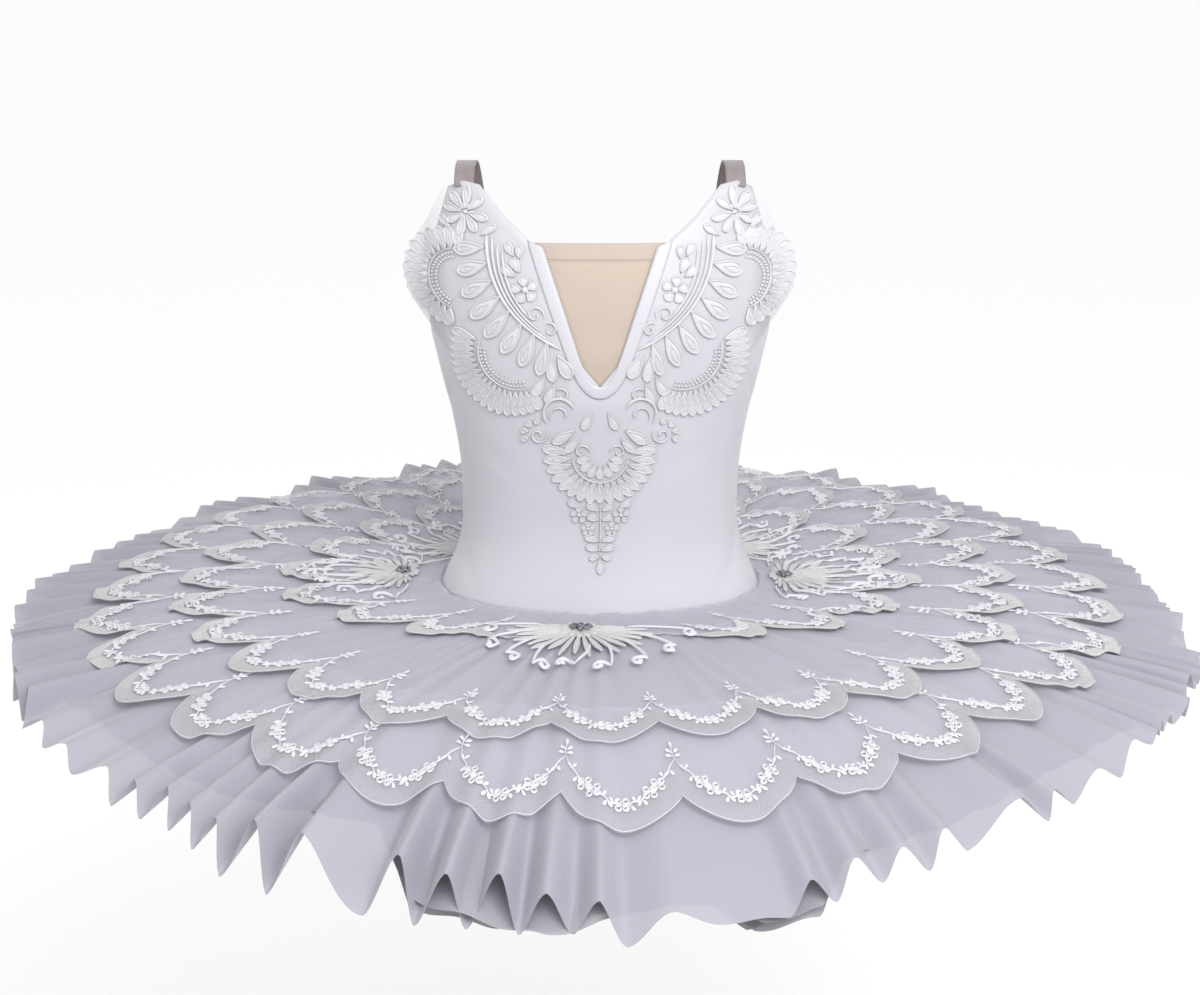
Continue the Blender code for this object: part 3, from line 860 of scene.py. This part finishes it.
# The big fan, its bowl and the drop below it
centre.fan(
    (0.0, 0.0560), (0.0220, 0.0190, 0.0220), (0.0410, 0.0350, 0.0410),
    172, 368, 17, 0.0068, filled=True, cord=0.0012
)
centre.fan(
    (0.0, 0.0560), (0.0240, 0.0210, 0.0240), (0.0340, 0.0290, 0.0340),
    172, 368, 17, 0.0024, cord=0.0008
)
centre.arc((0.0, 0.0560), (0.0195, 0.0195), 180, 360, steps=24)
centre.fan((0.0, 0.0560), (0.0070, 0.0070), (0.0165, 0.0165), 190, 350, 7, 0.0058, True)
STEM = ((0.0, 0.0210), (0.0003, 0.0100), (0.0004, -0.0020), (-0.0003, -0.0140), (0.0, -0.0240))
centre.cord(STEM, 0.0014, 0.0013)
centre.petal((0.0, -0.0210), (0.0, -0.0320), 0.0046)
ground = front_patch("centre_lace_ground", CENTRE_GROUND, lace_ground, LACE_LIFT, 5, 25, 0.0)
motifs = centre.lay("centre_lace", on_lace, lace_thread)
take_place("centre_lace")

# ---------------------------------------------------------------------------------------------
# Net: gathered rings of stiff net sewn one under another round the brief, steam-pleated so that
# the plate stands out flat from the hips. The rim sags at the front, and the pleats open there.
# ---------------------------------------------------------------------------------------------
RADIUS = 0.440
FRONT_DROOP = 0.036
FRONT_DROOP_ENDS = math.radians(58)
ROOT_STEP = 0.010         # between the gathered edges of two layers
RIM_STEP = 0.0075
# The pleats at the front come in groups, each of evenly wide pleats: degrees where the group
# starts, how many pleats it has, how deep they are, and where a ridge lies between its valleys
PLEAT_GROUPS = (
    (-60, 3, 0.35, 0.6),
    (-42, 4, 0.60, 0.5),
    (-30, 1, 1.20, 0.6),
    (-26, 1, 1.10, 0.3),
    (-18, 3, 1.10, 0.6),
    (-6, 2, 0.70, 0.5),
    (2, 1, 0.25, 0.3),
    (14, 4, 0.60, 0.5),
    (30, 1, 0.95, 0.7),
    (38, 1, 0.55, 0.4),
    (41, 2, 0.70, 0.5),
    (54, 1, 0.35, 0.5),
)
group_ends = [group[0] for group in PLEAT_GROUPS[1:]] + [60]
front_folds = []
for (start, pleats, depth, ridge), end in zip(PLEAT_GROUPS, group_ends):
    for degrees in np.linspace(start, end, pleats, endpoint=False):
        front_folds.append((degrees, depth, ridge))
front_folds = np.array(front_folds)
BACK_PLEATS = 84
draw = np.random.RandomState(11)
widths = np.cumsum(1 + 0.62 * draw.uniform(-1, 1, BACK_PLEATS))
FIRST_FOLD, LAST_FOLD = front_folds[0, 0], front_folds[-1, 0]
around_back = LAST_FOLD + widths / widths[-1] * (360 + FIRST_FOLD - LAST_FOLD)
fold_lines = np.radians(np.concatenate([front_folds[:, 0], around_back]) - FIRST_FOLD)
fold_depths = np.concatenate([front_folds[:, 1], 0.95 + 0.65 * draw.uniform(-1, 1, BACK_PLEATS - 1)])
fold_ridges = np.append(front_folds[:, 2], draw.uniform(0.3, 0.7, BACK_PLEATS - 1))
PLEATS = len(fold_depths)
fold_reach = draw.uniform(-1, 1, PLEATS)
# The pleats at the rim: degrees round from the front towards +X, their depth, and how far their
# ridges reach out past their valleys
PLEAT_REGIONS = (
    (-180, 0.0028, 0.0010),
    (-105, 0.0028, 0.0010),
    (-75, 0.0040, 0.0010),
    (-54, 0.0130, -0.0040),
    (-26, 0.0150, -0.0060),
    (-8, 0.0120, -0.0040),
    (12, 0.0110, -0.0030),
    (32, 0.0105, -0.0040),
    (60, 0.0050, 0.0010),
    (100, 0.0028, 0.0010),
    (180, 0.0028, 0.0010),
)


def smooth(value, low, high):
    share = np.clip((value - low) / (high - low), 0, 1)
    return share * share * (3 - 2 * share)


def degrees_round(angle):
    return np.degrees(np.arctan2(np.sin(angle), np.cos(angle)))


def front_share(angle):
    away = np.radians(np.abs(degrees_round(angle)))
    return 0.5 + 0.5 * np.cos(np.pi * np.minimum(1.0, away / FRONT_DROOP_ENDS))


def plate_height(angle, reach):
    """Height of the plate's top at an angle and a share of its radius, before its pleats."""
    late = np.clip((reach - 0.70) / 0.30, 0, None)
    droop = FRONT_DROOP * front_share(angle) * np.clip((reach - 0.6) / 0.4, 0, None) ** 2
    return HIP - 0.020 * late**1.4 - droop


def fold(angle, depths):
    """Where each angle lies across its pleat, -1 in the valley and 1 on the ridge, and its depth."""
    turned = np.mod(angle - math.radians(FIRST_FOLD), 2 * math.pi)
    place = np.interp(turned, fold_lines, np.arange(PLEATS + 1))
    across = np.mod(place, 1)
    ridge = fold_ridges[np.minimum(place.astype(int), PLEATS - 1)]
    height = 2 * np.minimum(across / ridge, (1 - across) / (1 - ridge)) - 1
    stops = np.arange(-1, PLEATS + 1) + 0.5
    around = np.concatenate([depths[-1:], depths, depths[:1]])
    return np.sin(height * math.pi / 2) * 0.7 + height * 0.3, np.interp(place, stops, around)


def pleated(angle, reach):
    """The pleats' height: shallow near the hips, opening beyond the lace."""
    height, depth = fold(angle, fold_depths)
    opens = looked_up(degrees_round(angle), PLEAT_REGIONS)
    fine = height * depth * (0.0026 * smooth(reach, 0.24, 0.45) + opens * smooth(reach, 0.74, 1.06) ** 1.2)
    sides = smooth(np.abs(degrees_round(angle)), 50, 80)
    return fine + 0.0045 * sides * np.sin(17 * angle + 1.8 * np.sin(5 * angle)) * smooth(reach, 0.75, 1.05)


def hip_radius(angle, out=0.0):
    """Distance of the body's side from its middle at the hip seam."""
    power = 2 / ROUND
    depth = np.where(np.cos(angle) > 0, 0.0840, 0.0880) + out
    side = np.abs(np.sin(angle) / (0.1215 + out)) ** power
    return (side + np.abs(np.cos(angle) / depth) ** power) ** (-1 / power)


def polar(angle, radius, height):
    return np.stack([radius * np.sin(angle), -radius * np.cos(angle), height], -1)


def ring(angle, radius, height, spread):
    """A ring of cloth: its points, and its flat places with spread metres to each radian."""
    turned = np.broadcast_to(angle, radius.shape)
    return polar(turned, radius, height), np.stack([turned * spread, radius], -1)


def hip_ruffle(angle, radius):
    """The gathered head of the net stands up a little against the satin."""
    uneven = 1 + 0.25 * np.sin(17 * angle) + 0.15 * np.sin(43 * angle + 1)
    return 0.0035 * np.exp(-np.maximum(0, radius - hip_radius(angle)) / 0.008) * uneven


def under_folds(angle, layer):
    """The lower layers hang in broad, shallow waves."""
    broad = np.sin(29 * angle + 2.1 * layer + 1.6 * np.sin(4 * angle))
    return broad, 0.0042 * broad + 0.0016 * np.sin(67 * angle + layer)


# How much longer the lower layers are: degrees from the front, metres
UNDER_REACH = (
    (-75, 0.0),
    (-60, -0.030),
    (-20, -0.042),
    (-15, 0.000),
    (-4, 0.002),
    (3, -0.014),
    (9, -0.012),
    (12, 0.006),
    (17, 0.006),
    (20, -0.020),
    (55, -0.022),
    (75, 0.0),
)


def net_ring(name, layer, reach, columns, rows, finish):
    angle = np.arange(columns) * 2 * math.pi / columns
    root = hip_radius(angle, -0.0010)
    rim = reach + 0.0035 * np.sin(7 * angle + 0.8) + 0.0028 * np.sin(11 * angle + 2 * layer)
    if layer == 0:
        ridge, tip = fold(angle, fold_reach)
        spread = looked_up(degrees_round(angle), PLEAT_REGIONS, 2)
        rim = rim + ridge * spread + 0.003 * tip + 0.0022 * np.sin(43 * angle + 2 * np.sin(5 * angle))
    else:
        longer = looked_up(degrees_round(angle), UNDER_REACH)
        rim = rim + longer + 0.0035 * under_folds(angle, layer)[0]
    share = np.linspace(0, 1, rows)[:, None] ** 0.9
    radius = root + share * (rim - root)
    relative = radius / reach
    height = plate_height(angle, relative) - layer * (ROOT_STEP + share * (RIM_STEP - ROOT_STEP))
    if layer == 0:
        height = height + pleated(angle, relative) + hip_ruffle(angle, radius)
    else:
        height = height + under_folds(angle, layer)[1] * smooth(relative, 0.6, 1.05)
    grid, size = ring(angle, radius, height, RADIUS * 1.5)
    net = cloth(name, grid[::-1], finish, closed=True, size=size[::-1])
    take_place(name)


top_net = net_finish("top net", (0.304, 0.299, 0.349), 0.0020, 0.89, 0.98, 0.32)
under_net = net_finish("under net", (0.290, 0.285, 0.322), 0.0020, 0.84, 0.95, 0.32)
# name, rim radius, columns, rows, finish
NETS = (
    ("net_layer_1", 0.440, 1536, 36, top_net),
    ("net_layer_2", 0.437, 1024, 20, under_net),
    ("net_layer_3", 0.424, 1024, 16, under_net),
    ("net_layer_4", 0.400, 1024, 16, under_net),
)
for layer, (name, reach, columns, rows, finish) in enumerate(NETS):
    net_ring(name, layer, reach, columns, rows, finish)

# ---------------------------------------------------------------------------------------------
# Lace tiers: three flounces of embroidered net laid over the plate, one inside another. Each has
# a scalloped edge in cream, and inside it a vine of small white flowers with a sprig at each
# valley. The scallops lie flatter at the front, where the lace is drawn tight.
# ---------------------------------------------------------------------------------------------
# node, scallops, first share of the radius, tip's share, lift over the plate at start and edge,
# turn in degrees
TIERS = (
    ("lace_tier_outer", 32, 0.600, 0.885, 0.0014, 0.0055, 2.0),
    ("lace_tier_middle", 28, 0.300, 0.728, 0.0010, 0.0062, 0.6),
    ("lace_tier_inner", 22, 0.0, 0.560, 0.0012, 0.0072, 5.0),
)
# How deep the scallops are cut: degrees from the front, share of the radius
SCALLOP_DEPTH = ((0, 0.050), (30, 0.055), (52, 0.090), (75, 0.105), (180, 0.105))
# How much shorter the inner tier is at the front, where the front medallion lies over it
SHORT_FRONT = ((0, 0.260), (20, 0.250), (35, 0.190), (50, 0.110), (68, 0.040), (85, 0.0))
# Tips of the sprig's leaves, from the vine
SPRIG = ((-0.0054, -0.0040), (0.0054, -0.0040), (-0.0046, -0.0100), (0.0046, -0.0100), (0, -0.0180))
tier_net = net_finish("tier net", (0.560, 0.550, 0.628), 0.0020, 0.26, 0.56, 0.30)
white_thread = stitched_finish("white embroidery", (0.565, 0.560, 0.592), (0.605, 0.600, 0.630), 0.45)
CREAM = (0.475, 0.471, 0.474)
cream, cream_tree, cream_shader = new_finish("cream border", CREAM, 0.6, sheen=0.2)
mottle(cream_tree, cream_shader, CREAM, (0.505, 0.500, 0.498), 120.0)
along, _ = flat_place(cream_tree)
relief(cream_tree, cream_shader, ribs(cream_tree, along, 0.0012), 0.00012)
# the border is most opaque at the sides and thin at the front; towards the back it fades to half again, which
# is painted shade for the back, where the key light falls away
depth_place = place_in_space(cream_tree)["Y"]
dense = ranged(cream_tree, depth_place, -0.33, -0.15, 0.20, 0.85)
# painted shade: the border fades to half towards the back, so the back of the plate reads darker
painted_back_shade = ranged(cream_tree, depth_place, 0.02, 0.25, 1.0, 0.5)
worked = sum_of(cream_tree, "MULTIPLY_ADD", grain(cream_tree, 700.0, 2.0), 0.8, 0.6)
border_alpha_with_painted_shade = sum_of(cream_tree, "MULTIPLY", worked, sum_of(cream_tree, "MULTIPLY", dense, painted_back_shade))
cream_tree.links.new(border_alpha_with_painted_shade, cream_shader.inputs["Alpha"])


class Tier:
    """One tier's shape: its scalloped edge, and its height over the plate."""

    def __init__(self, scallops, start, tip, start_lift, edge_lift, turn):
        self.scallops, self.start, self.tip = scallops, start, tip
        self.lifts = (start_lift, edge_lift)
        self.turn = math.radians(turn)

    def across(self, angle):
        """0 in a valley, 1 at a tip."""
        return np.abs(np.cos((angle - self.turn) * self.scallops / 2))

    def edge(self, angle):
        away = np.abs(degrees_round(angle))
        depth = looked_up(away, SCALLOP_DEPTH)
        drawn = self.tip + 0.006 * np.sin(5 * angle + self.scallops) + 0.004 * np.sin(13 * angle)
        if self.start == 0:
            drawn = drawn - looked_up(away, SHORT_FRONT)
            depth = depth * smooth(away, 28, 50)
        return RADIUS * (drawn - depth * (1 - self.across(angle) ** 0.8))

    def height(self, angle, radius, out=0.0):
        reach = radius / RADIUS
        lift = np.interp(reach, (max(self.start, 0.25), self.tip), self.lifts)
        flute = 0.0022 * (0.5 - self.across(angle)) * smooth(reach, self.tip - 0.12, self.tip)
        return plate_height(angle, reach) + pleated(angle, reach) * 0.4 + lift + flute + out

    def lay(self, x, radius, out):
        """A point x along the tips' circle, at a distance from the middle."""
        angle = x / (RADIUS * self.tip) + self.turn
        return polar(angle, radius, self.height(angle, radius, out + 0.0007))


for node, scallops, start, tip, start_lift, edge_lift, turn in TIERS:
    tier = Tier(scallops, start, tip, start_lift, edge_lift, turn)
    angle = np.arange(scallops * 30) * 2 * math.pi / (scallops * 30) + tier.turn
    edge = tier.edge(angle)
    first = np.maximum(start * RADIUS, hip_radius(angle, 0.0008))
    share = np.linspace(0, 1, 18)[:, None]
    radius = first + share * (edge - first)
    height = tier.height(angle, radius)
    if start == 0:
        height = height + hip_ruffle(angle, radius)
    grid, size = ring(angle, radius, height, RADIUS * tip)
    ground = cloth(node, grid[::-1], tier_net, closed=True, size=size[::-1])
    take_place(node)

    # the edge's cream border, broad at the front's valleys and a narrow ribbon elsewhere
    front = 1 - smooth(np.abs(degrees_round(angle)), 38, 60)
    width = 0.0110 + 0.0060 * front + 0.0060 * front * (1 - tier.across(angle))
    if start == 0:
        width = width * np.maximum(0.05, smooth(np.abs(degrees_round(angle)), 22, 40))
    share = np.linspace(0, 1, 6)[:, None]
    radius = edge + 0.0004 - share * width
    height = tier.height(angle, radius, 0.0003 + 0.0004 * np.sin(np.pi * share))
    grid, size = ring(angle, radius, height, RADIUS * tip)
    border = cloth(node + "_border", grid, cream, closed=True, size=size)

    # the vine, its flowers and leaves, and a sprig at each valley
    work = Needlework()
    half = math.pi * RADIUS * tip / scallops

    def vine_at(share, along):
        """A place on the vine: share runs -1 to 1 across the scallop whose tip is at along."""
        x = along + share * half
        angle = x / (RADIUS * tip) + tier.turn
        flatter = 1 - smooth(np.abs(degrees_round(angle)), 40, 65)
        dip = 1 - np.abs(np.cos(share * np.pi / 2)) ** 0.9
        inside = tier.edge(angle) - 0.0170 - 0.0015 * flatter - (0.003 + 0.012 * flatter) * dip
        return np.stack([x, inside], -1)

    for scallop in range(scallops):
        along = scallop * 2 * half
        if start == 0 and abs(degrees_round(along / (RADIUS * tip) + tier.turn)) < 32:
            continue
        share = np.linspace(-1, 1, 41)
        line = vine_at(share, along)
        line[:, 1] += 0.0011 * np.sin(share * 26)
        work.cord(line, 0.0010, 0.0009)
        rim = np.stack([line[:, 0], tier.edge(line[:, 0] / (RADIUS * tip) + tier.turn) - 0.0003], 1)
        work.cord(rim, 0.0004, 0.0003)
        for share in (-0.62, -0.47, 0.0, 0.47, 0.62):
            # an open flower: four little rings
            middle = vine_at(share, along)
            for x, z in ((-0.0024, -0.0024), (0.0024, -0.0024), (-0.0024, 0.0024), (0.0024, 0.0024)):
                turns = np.arange(8) * np.pi / 4
                outline = middle + (x, z) + 0.0019 * np.stack([np.cos(turns), np.sin(turns)], 1)
                work.cord(outline, 0.0012, 0.0012, closed=True)
        for place, share in enumerate((-0.86, -0.75, -0.33, -0.24, -0.13, 0.13, 0.24, 0.33, 0.75, 0.86)):
            foot = vine_at(share, along)
            rise = 0.0050 if place % 2 else -0.0046
            for lean in (-0.0026, 0.0030):
                work.petal(foot, foot + (lean, rise), 0.0026, 0.0, 0.0013, True, 4)
        foot = vine_at(1.0, along)
        work.cord((foot, foot - (0.0004, 0.0060), foot - (0, 0.0130)), 0.0016, 0.0013)
        for x, z in SPRIG:
            work.petal(foot + (x * 0.1, z * 0.55), foot + (x, z), 0.0030, 0.0, 0.0015, True, 4)
    flowers = work.lay(node + "_flowers", tier.lay, white_thread)

# ---------------------------------------------------------------------------------------------
# Medallions: six embroidered suns sewn flat round the hips. Narrow cream petals spread from a
# knot of dark stones, and white tendrils with curled tips reach out between them.
# ---------------------------------------------------------------------------------------------
# number, degrees from the front, middle's distance from the hip seam, how far it is drawn out
# sideways and outwards
MEDALLIONS = (
    (1, 356, 0.031, 1.32, 1.8),
    (2, 91, 0.019, 1.05, 1.5),
    (3, 137, 0.019, 1.05, 1.4),
    (4, 180, 0.019, 1.05, 1.4),
    (5, 223, 0.019, 1.05, 1.4),
    (6, 265, 0.030, 1.05, 1.4),
)
TENDRIL_REACH = (0.046, 0.047, 0.046, 0.048, 0.045, 0.048, 0.050, 0.052, 0.056)
medallion_thread = stitched_finish("medallion thread", (0.475, 0.472, 0.478), (0.515, 0.511, 0.514), 0.45)
stone = bpy.data.materials.new("dark stones")
stone.use_nodes = True
stone_shader = stone.node_tree.nodes["Principled BSDF"]
stone_shader.inputs["Roughness"].default_value = 0.08
stone_shader.inputs["Metallic"].default_value = 0.5
stone_shader.inputs["IOR"].default_value = 1.9
mottle(stone.node_tree, stone_shader, (0.03, 0.03, 0.04), (0.28, 0.28, 0.32), 400.0)

for number, degrees, out_from_hip, wide, long in MEDALLIONS:
    turned = math.radians(degrees)
    hip = body_point(np.array(turned), np.array(HIP))
    outwards = np.array((math.sin(turned), -math.cos(turned)))
    middle = hip[:2] + out_from_hip * outwards

    def on_hip(x, z, out, middle=middle, outwards=outwards, wide=wide, long=long):
        across = np.array((-outwards[1], outwards[0]))
        place = middle + np.outer(x * wide, across) + np.outer(z * np.where(z > 0, long, 1.0), outwards)
        angle = np.arctan2(place[:, 0], -place[:, 1])
        radius = np.hypot(place[:, 0], place[:, 1])
        height = tier.height(angle, radius) + hip_ruffle(angle, radius) + 0.0008
        return np.column_stack([place, height + out])

    sun = Needlework()
    for place in range(21):
        ray = math.radians(-116 + 232 * place / 20)
        ahead = np.array((math.sin(ray) * 1.15, math.cos(ray)))
        length = 0.031 + 0.004 * (place % 2) - 0.014 * (math.cos(ray) < -0.1)
        sun.petal(0.0050 * ahead, length * ahead, 0.0025, 0.0007, 0.0010, True, 7)
    for place in range(13):
        ray = math.radians(360 * place / 13)
        ahead = np.array((math.sin(ray), math.cos(ray)))
        sun.petal(0.0030 * ahead, 0.0110 * ahead, 0.0032, 0.0008, 0.0018, True, 5)
    fan = sun.lay(f"medallion_{number}", on_hip, medallion_thread)
    take_place(f"medallion_{number}")

    # tendrils: the side ones longest, each ending in a thick curl
    curls = Needlework()
    for place in range(9):
        ray = math.radians(-92 + 184 * place / 8)
        hand = 1 if place > 4 or (place == 4 and number % 2) else -1
        ahead = np.array((math.sin(ray), math.cos(ray)))
        side = np.array((ahead[1], -ahead[0])) * hand
        reach = TENDRIL_REACH[place] + 0.004 * abs(math.sin(ray))
        line = np.linspace(0.42, 1, 12)
        path = np.outer(line * reach, ahead) + np.outer(0.007 * np.sin(line * 3.0), side)
        curls.cord(path, 0.0015, 0.0013)
        curl = 0.0056 if number == 1 else 0.0072
        bend = path[-1] - side * curl
        start = math.degrees(math.atan2(*(path[-1] - bend)[::-1]))
        curls.scroll(bend, curl, start, -hand * 250, 0.0021, 0.0017, inner=0.35)
        curls.dot(bend, 0.0016, 0.0018)
    work = curls.lay(f"medallion_{number}_tendrils", on_hip, white_thread)

    gems = Needlework()
    spots = [(0.0, 0.0, 0.0027)]
    spots += [(0.0050 * math.sin(t), 0.0036 * math.cos(t), 0.0016) for t in np.arange(8) * math.pi / 4]
    for x, z, size in spots:
        gems.dot((x, z), size, size * 1.1, sides=8)
    cluster = gems.lay(f"gem_{number}", lambda x, z, out, on_hip=on_hip: on_hip(x, z, out + 0.0022), stone)
    cluster.data.shade_flat()
    take_place(f"gem_{number}")
